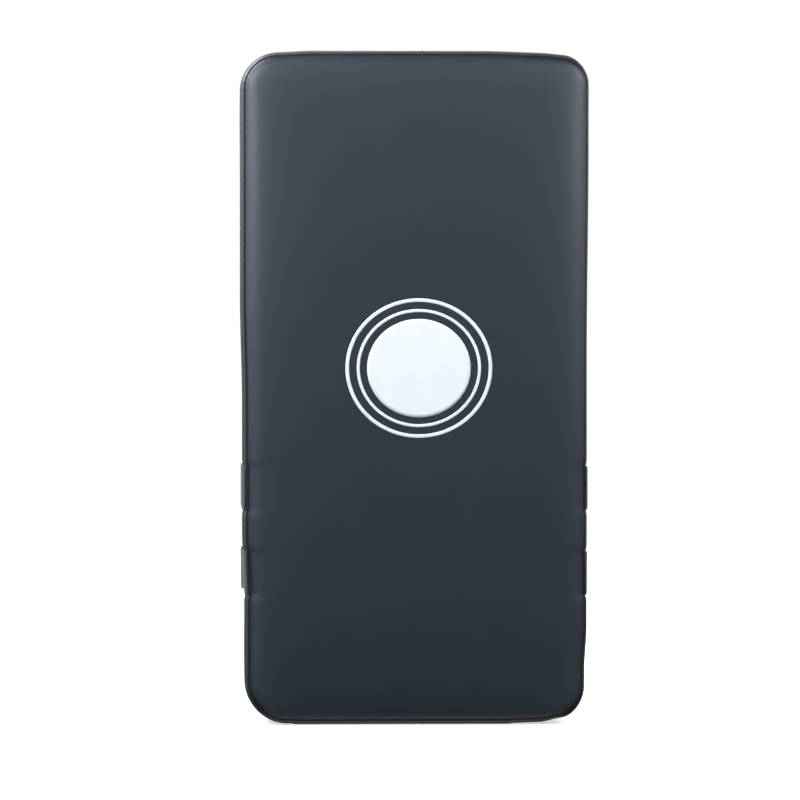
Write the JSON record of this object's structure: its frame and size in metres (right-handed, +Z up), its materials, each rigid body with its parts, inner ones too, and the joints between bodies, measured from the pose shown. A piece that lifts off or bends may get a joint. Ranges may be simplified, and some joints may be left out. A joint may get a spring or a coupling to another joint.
{
  "type": "kick shield",
  "caption": "Tall padded kick shield with a flat vinyl strike face and printed round target, hook-and-loop forearm straps, a padded hand grip and a zipped foam cover.",
  "frame": {"origin": "centre of the bottom edge that the pad stands on, halfway through the pad's thickness", "axes": "+Z up along the pad's height, +X across the pad to the right seen from the strike face, -Y out of the strike face"},
  "size_m": [0.3142, 0.1972, 0.6],
  "materials": {
    "front_vinyl": "smooth satin synthetic leather, very fine grain, dark slate",
    "gusset_vinyl": "smooth satin synthetic leather on the sides, dark grey",
    "back_vinyl": "grained satin synthetic leather on the arm side",
    "grip_vinyl": "grained soft vinyl wrapped round the grip",
    "white_print": "flat white screen print, slightly satin",
    "thread": "twisted bonded polyester thread, near black",
    "webbing": "plain woven polypropylene webbing with ribbed edges, black",
    "loop_pile": "soft brushed loop pile, black",
    "hook_face": "rows of moulded hooks on woven tape, black",
    "firm_foam": "closed-cell foam sheet, skinned, grey",
    "core_foam": "expanded polyethylene foam, fine cells, off-white",
    "soft_foam": "soft open-cell foam, grey",
    "zip_tape": "herringbone woven zip tape, black",
    "zip_coil": "nylon coil, black",
    "zip_metal": "die-cast metal with a dull gunmetal plating"
  },
  "bodies": {
    "pad": {"front_panel": "front_vinyl", "target_disc": "white_print", "target_ring_inner": "white_print", "target_ring_outer": "white_print", "gusset_left": "gusset_vinyl", "gusset_right": "gusset_vinyl", "back_panel": "back_vinyl", "front_seam_thread": "thread", "back_seam_thread": "thread", "strike_foam": "firm_foam", "core_foam": "core_foam", "arm_side_foam": "soft_foam", "upper_strap_left": "webbing", "upper_strap_right": "webbing", "upper_loop_patch": "loop_pile", "lower_strap_left": "webbing", "lower_strap_right": "webbing", "lower_loop_patch": "loop_pile", "strap_stitching": "thread", "grip_end_left": "webbing", "grip_end_right": "webbing", "grip_backing_left": "back_vinyl", "grip_backing_right": "back_vinyl", "grip_stitching": "thread", "zip_tape_upper": "zip_tape", "zip_tape_lower": "zip_tape", "zip_coil_upper": "zip_coil", "zip_coil_lower": "zip_coil", "zip_stops": "zip_metal", "zip_seam_thread": "thread"},
    "upper_flap": {"upper_strap_flap": "webbing", "upper_hook_patch": "hook_face"},
    "lower_flap": {"lower_strap_flap": "webbing", "lower_hook_patch": "hook_face"},
    "grip": {"grip_webbing": "webbing", "grip_foam": "soft_foam", "grip_sleeve": "grip_vinyl"},
    "zip_slider": {"zip_slider": "zip_metal"},
    "zip_pull": {"zip_pull": "zip_metal"}
  },
  "joints": [
    {"name": "upper_flap_peel", "type": "hinge", "parent": "pad", "child": "upper_flap", "pos_m": [0.1559, 0.066, 0.211], "axis": [0, 0, -1], "range_deg": [0, 110]},
    {"name": "lower_flap_peel", "type": "hinge", "parent": "pad", "child": "lower_flap", "pos_m": [0.1559, 0.066, 0.135], "axis": [0, 0, -1], "range_deg": [0, 110]},
    {"name": "grip_swing", "type": "hinge", "parent": "pad", "child": "grip", "pos_m": [0, 0.0757, 0.414], "axis": [1, 0, 0], "range_deg": [-60, 60]},
    {"name": "zip_run", "type": "slide", "parent": "pad", "child": "zip_slider", "axis": [-1, 0, 0], "range_m": [0, 0.2]},
    {"name": "pull_flip", "type": "hinge", "parent": "zip_slider", "child": "zip_pull", "pos_m": [0.101, 0.0645, 0.052], "axis": [0, 0, -1], "range_deg": [0, 170]}
  ]
}
